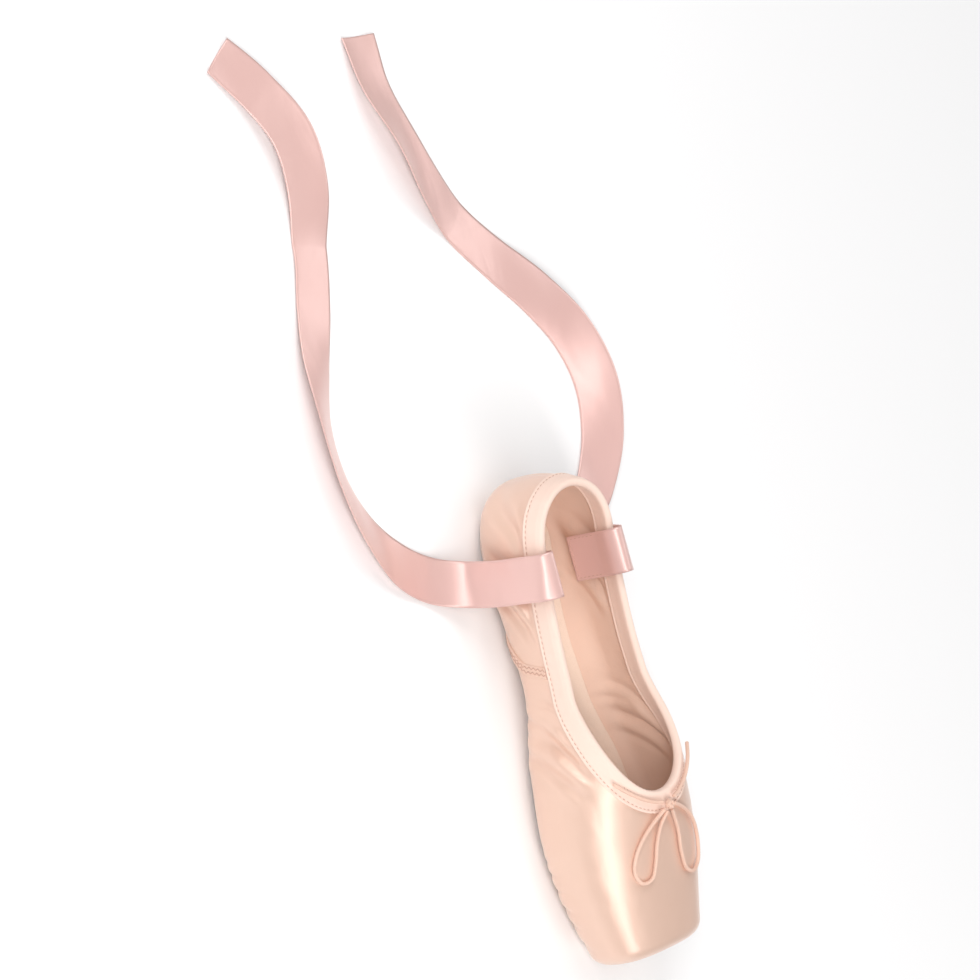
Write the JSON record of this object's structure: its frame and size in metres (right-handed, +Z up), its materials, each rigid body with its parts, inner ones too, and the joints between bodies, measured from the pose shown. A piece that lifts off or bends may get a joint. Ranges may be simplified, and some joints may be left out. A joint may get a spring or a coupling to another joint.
{
  "type": "pointe shoe",
  "caption": "Satin ballet pointe shoe with a stiffened box and flat platform, short leather sole, drawstring casing with a bow, and two loose ankle ribbons.",
  "frame": {"origin": "on the floor under the flat of the heel, on the shoe's centre line", "axes": "+X from heel to toe, +Y to the left, +Z up"},
  "size_m": [0.4677, 0.2051, 0.0634],
  "materials": {
    "satin": "peach shoe satin with a soft lengthwise sheen",
    "sole_leather": "pale pink split leather, matt",
    "insole_board": "natural cotton over board",
    "casing": "matt peach cotton tape",
    "drawstring": "woven elastic cord, peach",
    "ribbon": "cool pink satin ribbon"
  },
  "bodies": {
    "root": {"upper": "satin", "outsole": "sole_leather", "insole": "insole_board", "binding": "casing", "drawstring_knot": "drawstring", "drawstring_loop_right": "drawstring", "drawstring_loop_left": "drawstring", "drawstring_end_right": "drawstring", "drawstring_end_left": "drawstring", "ribbon_right": "ribbon", "ribbon_left": "ribbon"}
  },
  "joints": []
}
